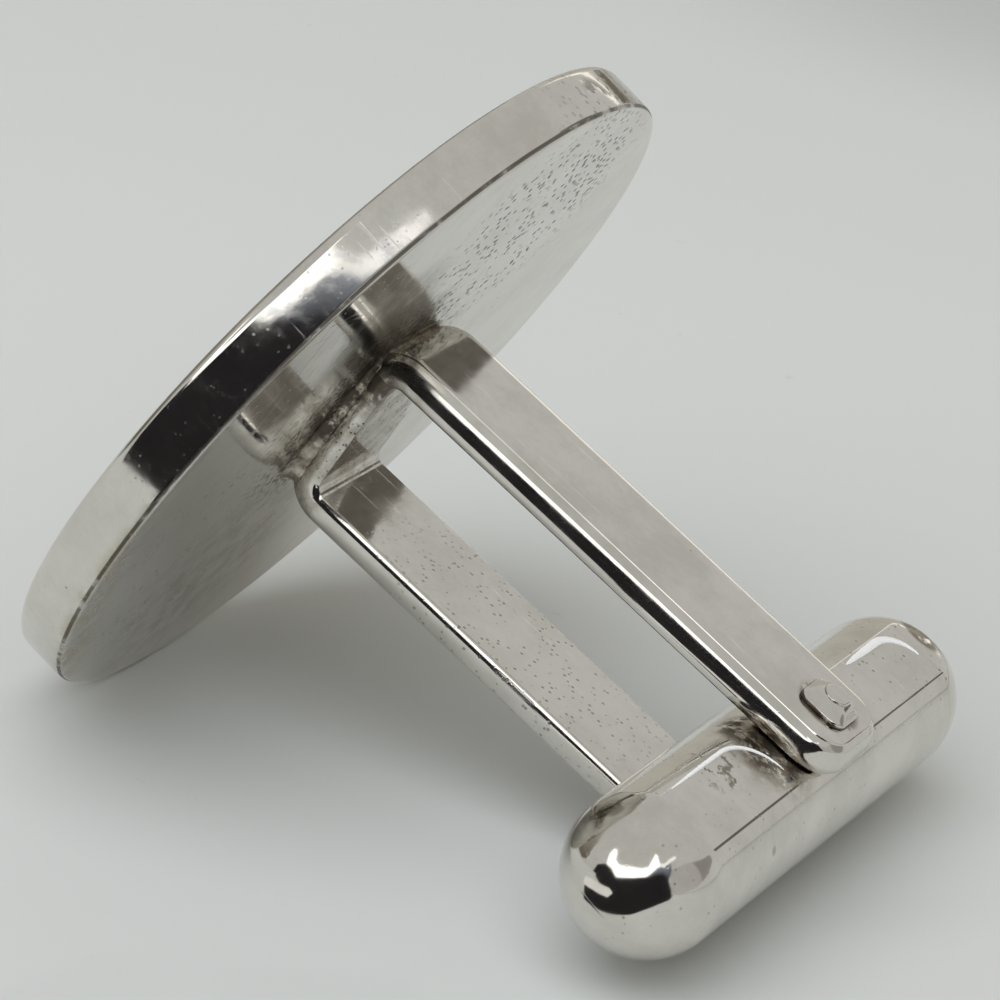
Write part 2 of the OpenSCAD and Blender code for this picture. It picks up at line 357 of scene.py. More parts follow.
faceLook = {
    **plated,
    "smooth": 0.05,
    "rough": 0.13,
    "lean": 0.17,
    "leanGrowth": 42,
    "worn": (1.2 * mm, 1.5 * mm),
    "wornSide": (0.45, -0.89, 0),
    "wornReach": (8.2 * mm, 10 * mm),
    "wornScale": 900,
    "wornCover": (0.4, 0.55),
    "wornColour": (0.58, 0.54, 0.45),
    "wornDull": 0.25,
    # Painted shade along the rounded back edge of the rim
    "paintedEdgeShade": (1.455 * mm, 1.49 * mm, 1.545 * mm, 1.575 * mm),
    "edgeShadeScale": 1500,
    "edgeShadeShare": (0.34, 0.5, 0.25, 0.9),
    "edgeShadeColour": (0.15, 0.13, 0.11),
    "edgeShadeDull": 0.3,
    "stains": [
        # Tarnish round the foot, with dark specks
        {"centre": (0, 0, faceHigh.z), "radius": 4.4 * mm, "core": 0.45, "scale": 1300, "cover": 0.2, "soft": 0.45,
         "strength": 0.8, "colour": (0.21, 0.185, 0.135), "dull": 0.12, "depth": 0.2, "squash": (1, 1.15, 1)},
        {"centre": (0, -0.6 * mm, faceHigh.z), "radius": 4.6 * mm, "core": 0.45, "scale": 1500, "cover": 0.32,
         "soft": 0.14, "strength": 0.95, "colour": (0.05, 0.04, 0.03), "depth": 0.6, "dots": 0.48,
         "dotScale": 5200},
        {"centre": (-2.6 * mm, -1.5 * mm, faceHigh.z), "radius": 2.6 * mm, "core": 0.5, "scale": 2200,
         "cover": 0.36, "soft": 0.2, "strength": 0.75, "colour": (0.08, 0.06, 0.04), "dull": 0.2, "depth": 0.5},
        {"centre": (-4.2 * mm, -3.6 * mm, faceHigh.z), "radius": 2.7 * mm, "core": 0.5, "scale": 1900,
         "cover": 0.24, "soft": 0.3, "strength": 0.7, "colour": (0.2, 0.175, 0.13), "dull": 0.1, "depth": 0.2},
        # Painted reflection: the back darker and browner towards the rim that rests on the table, where the shadowed
        # table shows in it
        {"centre": (6 * mm, -1.5 * mm, faceHigh.z), "radius": 5 * mm, "core": 0.4, "scale": 1700, "cover": 0.38,
         "soft": 0.3, "strength": 0.5, "colour": (0.32, 0.29, 0.24), "dull": 0.1, "depth": 0.15},
        # Pitted patch beyond the foot
        {"centre": (-6.2 * mm, 1.6 * mm, faceHigh.z), "radius": 5.4 * mm, "core": 0.5, "scale": 900, "cover": 0.4,
         "soft": 0.1, "strength": 0.95, "colour": (0.06, 0.05, 0.04), "depth": 0.8, "dots": 0.36, "dotScale": 4300},
        {"centre": (3 * mm, -3 * mm, faceHigh.z), "radius": 8 * mm, "scale": 700, "cover": 0.46, "soft": 0.12,
         "strength": 0.7, "colour": (0.16, 0.14, 0.11), "dull": 0.2, "depth": 0.5, "dots": 0.28, "dotScale": 3800},
        # Dull specks in the bright plate of the rim, and a nick near its far end
        {"centre": (-5 * mm, -9 * mm, 0.7 * mm), "radius": 6 * mm, "core": 0.6, "scale": 2600, "cover": 0.46,
         "soft": 0.22, "strength": 0.5, "colour": (0.62, 0.61, 0.6), "dull": 0.12, "depth": 0.05},
        {"centre": (-5 * mm, -9 * mm, 0.7 * mm), "radius": 6 * mm, "core": 0.6, "scale": 1400, "cover": 0.4,
         "soft": 0.2, "strength": 0.6, "colour": (0.6, 0.6, 0.6), "depth": 0.1, "dots": 0.24, "dotScale": 5600},
        {"centre": (-10.3 * mm, 1.5 * mm, 1.0 * mm), "radius": 0.7 * mm, "core": 0.5, "scale": 2100, "cover": 0.46,
         "soft": 0.1, "strength": 0.9, "colour": (0.3, 0.28, 0.25), "dull": 0.1, "depth": 1.6},
    ],
}


def makeFacePlate():
    p = facePlate
    radius = faceHigh.x
    lip = radius - p["lipWidth"]
    run = roundedRun([
        (0, faceHigh.z),
        (radius, faceHigh.z, p["backRound"]),
        (radius, 0, p["frontRound"]),
        (lip, 0, p["lipRound"]),
        (lip, p["recess"], p["lipRound"]),
        (0, p["recess"]),
    ])
    apex = faceHigh.z * p["crownPlace"]
    profile = []
    for here, after in zip(run, run[1:] + run[-1:]):
        onSide = min(here.x, after.x) > radius - p["tolerance"]
        for i in range(p["sideSteps"] if onSide else 1):
            r, z = here.lerp(after, i / p["sideSteps"])
            if r > radius - p["lipWidth"] / 2:
                r -= p["crown"] * ((z - apex) / (faceHigh.z - apex)) ** 2
            profile.append((r, z))
    points = []
    for r, z in profile:
        r = max(r, p["eye"])
        for i in range(p["steps"]):
            turn = math.tau * i / p["steps"]
            points.append((r * math.cos(turn), r * math.sin(turn), z))
    faces = tubeFaces(len(profile), p["steps"]) + tubeEnds(len(profile), p["steps"])
    plate = meshPiece("facePlate", points, faces, metal("platedFace", faceLook))
    seat(plate, "cufflink", "face_plate")
    print("face plate done")


makeFacePlate()


# Post frame, one strip bent into a U

postStrip = {
    "gap": 3.9 * mm,
    "thickness": 0.9 * mm,
    "width": 3.3 * mm,
    "turns": (-90, -34, -21, -8, 4, 21, 33, 52, 56, 26, 30, 80, 90),
    "lengths": (0.03, 0.1, 0.12, 0.1, 0.38, 0.09, 0.06, 0.14, 0.015, 0.03, 0.02, 0.22),
    "bendInside": 0.3 * mm,
    "filed": 0.09 * mm,
    "tipAbovePin": 1.35 * mm,
    "tipRound": 1.1 * mm,
    "flatInset": 0.85 * mm,
    "legStep": 0.9 * mm,
    "edgeSteps": 5,
    "bendSteps": 14,
    "tipSteps": 10,
}

stripLook = {
    **plated,
    "smooth": 0.05,
    "rough": 0.14,
    "pitScale": 4200,
    "stains": [
        {"centre": (0, 0, faceHigh.z), "radius": 3.9 * mm, "core": 0.5, "scale": 1500, "cover": 0.3, "soft": 0.4,
         "strength": 0.75, "colour": (0.3, 0.26, 0.2), "dull": 0.16, "depth": 0.2},
        {"centre": (0, 0, faceHigh.z), "radius": 3.6 * mm, "core": 0.4, "scale": 1700, "cover": 0.42, "soft": 0.12,
         "strength": 0.7, "colour": (0.1, 0.08, 0.06), "depth": 0.4, "dots": 0.3, "dotScale": 7600},
        {"centre": (-1.75 * mm, -1.6 * mm, 1.9 * mm), "radius": 1.1 * mm, "core": 0.35, "scale": 2600,
         "cover": 0.36, "soft": 0.16, "strength": 0.85, "colour": (0.1, 0.08, 0.06), "dull": 0.25, "depth": 0.4},
        {"centre": onPin @ Vector((-2.85 * mm, 0, 0)), "radius": 0.95 * mm, "core": 0.8, "scale": 2400,
         "cover": 0.42, "strength": 0.7, "colour": (0.16, 0.12, 0.09), "dull": 0.2, "depth": 0.2},
        # Fine pits on the faces of the legs
        {"centre": (2 * mm, 0, 9 * mm), "radius": 5.5 * mm, "core": 0.5, "scale": 1100, "cover": 0.4, "soft": 0.14,
         "strength": 0.75, "colour": (0.25, 0.23, 0.19), "dull": 0.2, "depth": 0.5, "dots": 0.3, "dotScale": 5000},
    ],
}


def stripRuns():
    # Half the base, the height where a bend ends, and the lengths of a leg and of a bend
    p = postStrip
    base = p["gap"] / 2 - p["bendInside"]
    bendTop = p["thickness"] - p["filed"] + p["bendInside"]
    return base, bendTop, pivotHeight + p["tipAbovePin"] - bendTop, math.pi / 2 * p["bendInside"]


def alongStrip(s):
    # A point on the strip's inner face and the way out through its thickness, s from one tip
    base, bendTop, legRun, bendRun = stripRuns()
    inside = postStrip["bendInside"]
    total = 2 * (legRun + bendRun + base)
    if s > total / 2:
        inner, out = alongStrip(total - s)
        return Vector((-inner.x, 0, inner.z)), Vector((-out.x, 0, out.z))
    if s < legRun:
        return Vector((-base - inside, 0, bendTop + legRun - s)), Vector((-1, 0, 0))
    s -= legRun
    if s < bendRun:
        out = Vector((-math.cos(s / inside), 0, -math.sin(s / inside)))
        return Vector((-base, 0, bendTop)) + out * inside, out
    return Vector((s - bendRun - base, 0, bendTop - inside)), Vector((0, 0, -1))


def stripStations():
    p = postStrip
    base, _, legRun, bendRun = stripRuns()
    legCount = math.ceil((legRun - p["tipRound"]) / p["legStep"])
    leg = [p["tipRound"] + (legRun - p["tipRound"]) * (i + 0.5) / legCount for i in range(legCount)]
    bend = [legRun + bendRun * i / p["bendSteps"] for i in range(p["bendSteps"] + 1)]
    half = leg + bend
    total = 2 * (legRun + bendRun + base)
    return half + [total - s for s in reversed(half)], total


def makePostFrame():
    p = postStrip
    stations, total = stripStations()
    halfWidth = p["width"] / 2
    # The worn edge, as runs in millimetres whose normal turns from the inner face to the outer one
    edge = [Vector((0, 0))]
    for start, end, length in zip(p["turns"], p["turns"][1:], p["lengths"]):
        for i in range(p["edgeSteps"]):
            turn = math.radians(start + (end - start) * (i + 0.5) / p["edgeSteps"])
            edge.append(edge[-1] + Vector((math.sin(turn), math.cos(turn))) * length * mm / p["edgeSteps"])
    outermost = min(q.x for q in edge)
    stretch = p["thickness"] / edge[-1].y
    section = [(q.x - outermost, q.y * stretch) for q in edge]
    section = [(p["flatInset"], 0)] + section + [(p["flatInset"], p["thickness"])]

    def sideRun(inset):
        tip = p["tipRound"]
        corner = halfWidth - tip
        turns = [math.pi / 2 * i / p["tipSteps"] for i in range(p["tipSteps"] + 1)]
        first = [(tip - (tip - inset) * math.cos(t), corner + (tip - inset) * math.sin(t)) for t in turns]
        last = [(total - s, w) for s, w in reversed(first)]
        return first + [(s, halfWidth - inset) for s in stations] + last

    points = []
    for inset, depth in section:
        run = sideRun(inset)
        for s, w in run + [(s, -w) for s, w in reversed(run)]:
            inner, out = alongStrip(s)
            points.append(inner + out * depth + Vector((0, w, 0)))
    count = 2 * len(sideRun(0))
    faces = tubeFaces(len(section), count)
    for ring in (0, len(section) - 1):
        for i in range(count // 2 - 1):
            start = ring * count
            faces.append((start + i, start + i + 1, start + count - 2 - i, start + count - 1 - i))
    points = [onPost @ q for q in points]
    for q in points:
        q.z = max(q.z, faceHigh.z)
    strip = meshPiece("postStrip", points, faces, metal("platedStrip", stripLook))
    seat(strip, "cufflink", "post_frame")
    print("post frame done")


makePostFrame()


# Solder fillet round the foot

solderBead = {
    "Length": 4.66 * mm,
    "Width": 3.24 * mm,
    "Corner": 0.5 * mm,
    "Unevenness": 0.075 * mm,
    "Lumps": 1900.0,
    "Lump Detail": 3.0,
    "Corner Steps": 8,
    "Steps": 260,
}

solderProfile = {
    "reach": 0.26 * mm,
    "rise": 0.3 * mm,
    "waist": 0.03 * mm,
    "hidden": 0.3 * mm,
    "sunk": 0.02 * mm,
    "tilt": 0.0524,
    "steps": 8,
    "weld": 1e-7,
}

solderLook = {
    **plated,
    "colour": (0.56, 0.51, 0.44),
    "shade": (0.13, 0.1, 0.075),
    "toneScale": 2300,
    "stains": [
        {"centre": (-0.9 * mm, -1.7 * mm, faceHigh.z), "radius": 2.4 * mm, "core": 0.5, "scale": 2600, "cover": 0.4,
         "soft": 0.12, "strength": 0.85, "colour": (0.06, 0.05, 0.035), "dull": 0.2, "depth": 0.5},
    ],
    "smooth": 0.12,
    "rough": 0.42,
    "pitScale": 5000,
    "pitCover": 0.45,
    "bump": 0.8,
}


def makeProfile():
    # The fillet's section, out along x and up against y, as a closed run of edges
    p = solderProfile
    points = [(-p["hidden"], -p["sunk"]), (p["reach"], -p["sunk"])]
    for i in range(p["steps"] + 1):
        turn = math.pi / 2 * i / p["steps"]
        points.append((p["reach"] - (p["reach"] - p["waist"]) * math.sin(turn), p["rise"] * (1 - math.cos(turn))))
    points.append((-p["hidden"], p["rise"]))
    edges = [(i, (i + 1) % len(points)) for i in range(len(points))]
    mesh = bpy.data.meshes.new("solderProfile")
    mesh.from_pydata([(x, -y, 0) for x, y in points], edges, [])
    return mesh


def makeSolderBead():
    tree, given, finish = newTree("solderBead", solderBead)
    path = add(tree, "GeometryNodeCurvePrimitiveQuadrilateral", {"Width": given["Length"], "Height": given["Width"]})
    soft = add(tree, "GeometryNodeFilletCurve", {
        "Curve": path.outputs[0], "Count": given["Corner Steps"], "Radius": given["Corner"]}, mode="POLY")
    even = add(tree, "GeometryNodeResampleCurve", {"Curve": soft.outputs[0], "Count": given["Steps"]})
    section = add(tree, "GeometryNodeMeshToCurve", {"Mesh": given["Geometry"]})
    tube = add(tree, "GeometryNodeCurveToMesh", {"Curve": even.outputs[0], "Profile Curve": section.outputs[0]})
    lumps = add(tree, "ShaderNodeTexNoise", {
        "Scale": given["Lumps"], "Detail": given["Lump Detail"]}).outputs["Color"]
    shift = vectorMaths(tree, "SUBTRACT", lumps, (0.5, 0.5, 0.5))
    shift = add(tree, "ShaderNodeVectorMath", {0: shift, "Scale": given["Unevenness"]}, operation="SCALE")
    moved = add(tree, "GeometryNodeSetPosition", {"Geometry": tube.outputs[0], "Offset": shift.outputs[0]})
    closeTree(tree, moved.outputs[0], given, finish)
    material = metal("darkSolder", solderLook)
    bead = grown("solderBead", tree, solderBead, material, Matrix.Translation(backOfFace), makeProfile())
    shape = bmesh.new()
    shape.from_mesh(bead.data)
    bmesh.ops.remove_doubles(shape, verts=shape.verts, dist=solderProfile["weld"])
    bmesh.ops.recalc_face_normals(shape, faces=shape.faces)
    # The top of the bead follows the lean of the post
    for v in shape.verts:
        v.co.z += v.co.x * solderProfile["tilt"] * (v.co.z - backOfFace.z) / solderProfile["rise"]
    shape.to_mesh(bead.data)
    shape.free()
    seat(bead, "cufflink", "solder_fillet")
    print("solder bead done")


makeSolderBead()


# Pin with its two riveted heads

rivetPin = {
    "Reach": 2.85 * mm,
    "Square": 0.9 * mm,
    "Journal": 0.65 * mm,
    "Journal Length": 3.9 * mm,
    "Journal Sides": 64,
    "Bar Length": 5.757 * mm,
}

rivetHead = {
    "length": 1.42 * mm,
    "width": 1.3 * mm,
    "corner": 0.35 * mm,
    "side": 0.14 * mm,
    "edgeRound": 0.07 * mm,
    "slopeTop": 0.34 * mm,
    "rise": 0.4 * mm,
    "crown": 0.375 * mm,
    "crownShift": -0.1 * mm,
    "bulge": 0.9,
    "roundSteps": 5,
    "slopeSteps": 7,
    "crownSteps": 4,
    "steps": 72,
    "halvings": 30,
}

pinLook = {
    **plated,
    "smooth": 0.06,
    "rough": 0.16,
    "peelScale": 3000,
    "pitScale": 5200,
    "pitCover": 0.62,
    "bump": 0.4,
    "stains": [
        # Dirt in the corner at the foot of the head
        {"centre": onPin @ Vector((-2.86 * mm, 0, 0)), "radius": 1.0 * mm, "core": 0.9, "scale": 2600, "cover": 0.3,
         "soft": 0.2, "strength": 0.9, "colour": (0.1, 0.075, 0.055), "dull": 0.2, "squash": (8, 1, 1)},
    ],
}


def headOutline(turn):
    # The distance from the middle of the head to its outline, a rounded rectangle, one way round
    p = rivetHead
    a = max(p["length"] / 2 - p["corner"], 0)
    b = max(p["width"] / 2 - p["corner"], 0)
    c, s = abs(math.cos(turn)), abs(math.sin(turn))
    low, high = 0.0, p["length"]
    for _ in range(p["halvings"]):
        middle = (low + high) / 2
        dx, dy = max(middle * c - a, 0), max(middle * s - b, 0)
        if math.hypot(dx, dy) < p["corner"]:
            low = middle
        else:
            high = middle
    return low


def makeHead():
    p = rivetHead
    # Each ring: its share of the way from the outline to the crown, its inset and its height
    rings = [(0, 0, 0), (0, 0, p["side"] - p["edgeRound"])]
    for i in range(1, p["roundSteps"]):
        turn = math.pi / 2 * i / p["roundSteps"]
        rings.append((0, p["edgeRound"] * (1 - math.cos(turn)), p["side"] - p["edgeRound"] * (1 - math.sin(turn))))
    for i in range(p["slopeSteps"]):
        way = (i + 0.5) / p["slopeSteps"]
        climb = math.sin(way * math.pi / 2) ** p["bulge"]
        rings.append((way, p["edgeRound"], p["side"] + (p["slopeTop"] - p["side"]) * climb))
    rings.append((1, 0, p["slopeTop"]))
    step = p["rise"] - p["slopeTop"]
    for i in range(1, p["crownSteps"] + 1):
        turn = math.pi / 2 * i / p["crownSteps"]
        rings.append((1, step * (1 - math.cos(turn)), p["slopeTop"] + step * math.sin(turn)))
    rings.append((1, p["crown"] / 2, p["rise"]))
    points = []
    for way, inset, height in rings:
        for i in range(p["steps"]):
            turn = math.tau * i / p["steps"]
            towards = Vector((math.sin(turn), math.cos(turn)))
            outer = towards * headOutline(turn)
            inner = towards * p["crown"] + Vector((p["crownShift"], 0))
            y, z = outer.lerp(inner, way) - towards * inset
            points.append((height, y, z))
    faces = tubeFaces(len(rings), p["steps"]) + tubeEnds(len(rings), p["steps"])
    return outwardMesh("rivetHead", points, faces)


def makePin():
    tree, given, finish = newTree("rivetPin", rivetPin)
    left = add(tree, "ShaderNodeCombineXYZ", {"X": product(tree, given["Reach"], -1.0)})
    step = add(tree, "ShaderNodeCombineXYZ", {"X": product(tree, given["Reach"], 2.0)})
    ends = add(tree, "GeometryNodeMeshLine", {"Count": 2, "Start Location": left.outputs[0], "Offset": step.outputs[0]})
    index = add(tree, "GeometryNodeInputIndex").outputs[0]
    turn = add(tree, "ShaderNodeCombineXYZ", {"Z": product(tree, maths(tree, "SUBTRACT", 1.0, index), math.pi)})
    heads = add(tree, "GeometryNodeInstanceOnPoints", {
        "Points": ends.outputs[0], "Instance": given["Geometry"], "Rotation": turn.outputs[0]})
    size = add(tree, "ShaderNodeCombineXYZ", {
        "X": given["Bar Length"], "Y": given["Square"], "Z": given["Square"]})
    bar = add(tree, "GeometryNodeMeshCube", {"Size": size.outputs[0]})
    journal = add(tree, "GeometryNodeMeshCylinder", {
        "Vertices": given["Journal Sides"], "Radius": given["Journal"], "Depth": given["Journal Length"]})
    across = add(tree, "GeometryNodeTransform", {"Geometry": journal.outputs[0], "Rotation": (0, math.pi / 2, 0)})
    every = add(tree, "GeometryNodeJoinGeometry")
    for part in (heads, bar, across):
        tree.links.new(part.outputs[0], every.inputs[0])
    closeTree(tree, every.outputs[0], given, finish)
    pin = grown("rivetPin", tree, rivetPin, metal("pinMetal", pinLook), onPin, makeHead())
    seat(pin, "cufflink", "pivot_pin")
    print("pin done")


makePin()


# Bullet toggle: body and end plug, with two long flats

bullet = {
    "Radius": 2.1 * mm,
    "Barrel": 6.75 * mm,
    "Flat": 1.89 * mm,
    "Softness": 0.035 * mm,
    "Run Out": 0.32 * mm,
    "Run Out Start": 0.0,
    "Run Out End": 0.8 * mm,
    "Segments": 480,
    "Rings": 121,
}
plugSeam = {"place": 6.75 * mm, "gap": 0.004 * mm}

# By the leg and at the far end of the flat, each as a straight run and a quarter of an ellipse
flatRidges = [
    {"start": -6.2 * mm, "bend": -3.5 * mm, "edge": -0.88 * mm, "across": 1.42 * mm, "down": 1.3 * mm,
     "height": 0.045 * mm, "width": 0.14 * mm},
    {"start": 3.7 * mm, "bend": 5.5 * mm, "edge": -0.76 * mm, "across": 1.1 * mm, "down": 0.95 * mm,
     "height": 0.042 * mm, "width": 0.26 * mm},
]
ridgeShape = {"steps": 72, "sides": 10, "endShare": 0.02}

bulletLook = {
    **plated,
    "smooth": 0.05,
    "rough": 0.13,
    "pitScale": 2200,
    "pitCover": 0.62,
    "stains": [
        # Fine specks all over, brown residue beside the leg and a few dark nicks on the flat
        {"centre": onPin @ Vector((-1 * mm, 0, 1 * mm)), "radius": 12 * mm, "core": 0.9, "scale": 1300,
         "cover": 0.5, "soft": 0.12, "strength": 0.5, "colour": (0.3, 0.27, 0.22), "dull": 0.2, "depth": 0.3,
         "dots": 0.22, "dotScale": 4300},
        {"centre": onPin @ Vector((-2 * mm, -1.9 * mm, -0.2 * mm)), "radius": 1.9 * mm, "scale": 1500,
         "cover": 0.35, "soft": 0.25, "strength": 0.75, "colour": (0.2, 0.15, 0.1), "depth": 0.4},
        {"centre": onPin @ Vector((-1.93 * mm, -2.3 * mm, -0.2 * mm)), "radius": 0.85 * mm, "core": 0.4,
         "scale": 4200, "cover": 0.4, "soft": 0.12, "strength": 0.85, "colour": (0.09, 0.07, 0.05), "dull": 0.25,
         "depth": 0.5},
        {"centre": onPin @ Vector((-1.9 * mm, -1.8 * mm, -0.9 * mm)), "radius": 1.05 * mm, "core": 0.5,
         "scale": 2600, "cover": 0.38, "soft": 0.14, "strength": 0.9, "colour": (0.07, 0.055, 0.04), "depth": 0.7},
        {"centre": onPin @ Vector((-1.9 * mm, -4 * mm, -0.6 * mm)), "radius": 1.1 * mm, "core": 0.5, "scale": 2400,
         "cover": 0.56, "soft": 0.06, "strength": 0.8, "colour": (0.2, 0.18, 0.14), "depth": 0.6},
        {"centre": onPin @ Vector((-1.2 * mm, -4 * mm, 1.7 * mm)), "radius": 0.16 * mm, "scale": 3000, "cover": 0.2,
         "strength": 0.6, "colour": (0.3, 0.27, 0.2), "squash": (1, 1.0, 0.5)},
        {"centre": onPin @ Vector((-1.86 * mm, 7.4 * mm, -0.2 * mm)), "radius": 0.6 * mm, "core": 0.6,
         "scale": 2600, "cover": 0.36, "soft": 0.1, "strength": 0.85, "colour": (0.16, 0.13, 0.08), "dull": 0.2,
         "depth": 0.5, "squash": (1, 1.6, 0.8)},
        {"centre": onPin @ Vector((-1.5 * mm, 5.6 * mm, 0)), "radius": 3.2 * mm, "core": 0.4, "scale": 900,
         "cover": 0.45, "soft": 0.12, "strength": 0.7, "colour": (0.2, 0.17, 0.13), "dull": 0.2, "depth": 0.5,
         "dots": 0.2, "dotScale": 3600},
    ],
}


def addRidge(shape, side, ridge):
    # A fine ridge that the cutter leaves along the flat's edge and round its end
    p = {**ridgeShape, **ridge}
    path = []
    for i in range(p["steps"] + 1):
        way = 2 * i / p["steps"]
        if way < 1:
            path.append(Vector((0, p["start"] + (p["bend"] - p["start"]) * way, p["edge"])))
        else:
            turn = math.pi / 2 * (way - 1)
            z = p["edge"] + p["down"] * (1 - math.cos(turn))
            path.append(Vector((0, p["bend"] + p["across"] * math.sin(turn), z)))
    rings = []
    for i, q in enumerate(path):
        along = (path[min(i + 1, len(path) - 1)] - path[max(i - 1, 0)]).normalized()
        cross = Vector((0, -along.z, along.y))
        swell = math.sqrt(max(math.sin(math.pi * i / p["steps"]), p["endShare"]))
        ring = []
        for j in range(p["sides"]):
            turn = math.tau * j / p["sides"]
            lift = side * (bullet["Flat"] + p["height"] * swell * math.sin(turn))
            ring.append(shape.verts.new(q + Vector((lift, 0, 0)) + cross * p["width"] / 2 * swell * math.cos(turn)))
        rings.append(ring)
    faces = [shape.faces.new(rings[0]), shape.faces.new(rings[-1])]
    for ring, after in zip(rings, rings[1:]):
        for j in range(p["sides"]):
            k = (j + 1) % p["sides"]
            faces.append(shape.faces.new((ring[j], ring[k], after[k], after[j])))
    for face in faces:
        face.smooth = True
    bmesh.ops.recalc_face_normals(shape, faces=faces)


def makeBullet():
    tree, given, finish = newTree("bullet", bullet)
    ball = add(tree, "GeometryNodeMeshUVSphere", {
        "Segments": given["Segments"], "Rings": given["Rings"], "Radius": given["Radius"]})
    lying = add(tree, "GeometryNodeTransform", {"Geometry": ball.outputs[0], "Rotation": (math.pi / 2, 0, 0)})
    x, y, z = add(tree, "ShaderNodeSeparateXYZ", {0: add(tree, "GeometryNodeInputPosition").outputs[0]}).outputs
    nearEnds = ramp(tree, maths(tree, "ABSOLUTE", y), given["Run Out Start"], given["Run Out End"])
    soft = maths(tree, "ADD", given["Softness"], product(tree, nearEnds, given["Run Out"]))
    flat = maths(tree, "SMOOTH_MIN", maths(tree, "ABSOLUTE", x), given["Flat"], soft)
    cutX = product(tree, flat, maths(tree, "SIGN", x))
    longY = maths(tree, "ADD", y, product(tree, maths(tree, "SIGN", y), given["Barrel"]))
    spot = add(tree, "ShaderNodeCombineXYZ", {"X": cutX, "Y": longY, "Z": z})
    shaped = add(tree, "GeometryNodeSetPosition", {"Geometry": lying.outputs[0], "Position": spot.outputs[0]})
    closeTree(tree, shaped.outputs[0], given, finish)
    whole = grown("bullet", tree, bullet, metal("platedToggle", bulletLook), Matrix.Identity(4))
    for name, side, node in (("bulletBody", -1, "toggle_body"), ("bulletPlug", 1, "toggle_plug")):
        shape = bmesh.new()
        shape.from_mesh(whole.data)
        level = plugSeam["place"] + side * plugSeam["gap"] / 2
        everything = shape.verts[:] + shape.edges[:] + shape.faces[:]
        cut = bmesh.ops.bisect_plane(
            shape, geom=everything, plane_co=(0, level, 0), plane_no=(0, side, 0), clear_inner=True)
        edges = [e for e in cut["geom_cut"] if isinstance(e, bmesh.types.BMEdge)]
        bmesh.ops.holes_fill(shape, edges=edges, sides=0)
        for e in edges:
            e.smooth = False
        if side < 0:
            for ridge in flatRidges:
                addRidge(shape, -1, ridge)
                addRidge(shape, 1, ridge)
        mesh = whole.data.copy()
        shape.to_mesh(mesh)
        shape.free()
        mesh.transform(onPin)
        seat(addObject(name, mesh), "toggle", node)
    bpy.data.objects.remove(whole)
    print("bullet toggle done")


makeBullet()


# CAD pieces that keep their own shape

inlayLook = {
    **plated,
    "colour": (0.72, 0.71, 0.69),
    "shade": (0.67, 0.66, 0.64),
    "smooth": 0.16,
    "rough": 0.26,
}

springLook = {
    **plated,
    "colour": (0.42, 0.44, 0.48),
    "shade": (0.3, 0.3, 0.34),
    "smooth": 0.25,
    "rough": 0.4,
}

resinLook = {
    **plated,
    "colour": (0.8, 0.76, 0.62),
    "shade": (0.72, 0.68, 0.55),
    "metallic": 0.0,
    "smooth": 0.2,
    "rough": 0.35,
}

for node, look in (("face_inlay", inlayLook), ("detent_spring", springLook), ("inlay_adhesive", resinLook)):
    part = frame["nodes"][node]
    paint = metal(node, look)
    if part.material_slots:
        for slot in part.material_slots:
            slot.material = paint
    else:
        part.data.materials.append(paint)
print("frame pieces painted")


# Table, on which the cufflink lies on its side as in the photograph

tableGap = 0.03 * mm
rimPoint = Vector((faceHigh.x, 0, faceHigh.z))
headPoint = onPin @ Vector((rivetPin["Reach"] + rivetHead["rise"], 0, 0))
lying = (headPoint - rimPoint).normalized()
tableUp = Vector((-lying.z, 0, lying.x))
tableHeight = rimPoint.dot(tableUp) - tableGap

viewPoint = {
    "aim": Vector((-4.673, -6.029, 7.049)) * mm,
    "azimuth": -32.103,
    "elevation": 8.310,
    "roll": -135.851,
    "distance": 128.3 * mm,
    "lens": 192.97,
    "sensor": 36,
    "clip": (0.005, 10),
}


def makeCamera():
    p = viewPoint
    azimuth = math.radians(p["azimuth"])
    elevation = math.radians(p["elevation"])
    flat = math.cos(elevation)
    back = Vector((math.sin(azimuth) * flat, -math.cos(azimuth) * flat, math.sin(elevation)))
    level = (Vector((0, 0, 1)) - back * back.z).normalized()
    aside = level.cross(back)
    roll = math.radians(p["roll"])
    up = level * math.cos(roll) + aside * math.sin(roll)
    right = up.cross(back)
    lens = bpy.data.cameras.new("camera")
    lens.lens = p["lens"]
    lens.sensor_width = p["sensor"]
    lens.clip_start, lens.clip_end = p["clip"]
    camera = addObject("camera", lens)
    turn = Matrix((right, up, back)).transposed().to_4x4()
    camera.matrix_world = Matrix.Translation(p["aim"] + back * p["distance"]) @ turn
    scene.camera = camera
    return back


towardCamera = makeCamera()
tableAway = (-towardCamera + tableUp * towardCamera.dot(tableUp)).normalized()
tableRight = tableAway.cross(tableUp)
tableOrigin = pinCentre + tableUp * (tableHeight - pinCentre.dot(tableUp))
onTable = Matrix.Translation(tableOrigin) @ Matrix((tableRight, tableAway, tableUp)).transposed().to_4x4()

table = {
    "radius": 900 * mm,
    "steps": 96,
    # Painted light: the table is darker towards the camera and lighter away from it and to the left
    "nearShadedColour": (0.565, 0.578, 0.568),
    "farLitColour": (0.63, 0.645, 0.638),
    "fleck": (0.5, 0.51, 0.5),
    "fleckScale": 900,
    "fleckCover": (0.68, 0.74),
    "fleckShare": 0.35,
    "shadeFalloff": (-25 * mm, 45 * mm),
    "shadeFalloffTurn": 0.25,
    # Painted shadow on the far right of the table
    "paintedShadowSpot": Vector((12, 84, 0)) * mm,
    "paintedShadowReach": (24 * mm, 5 * mm),
    "paintedShadowTint": (0.8, 0.805, 0.81),
    "roughness": 0.6,
    "specular": 0.3,
}


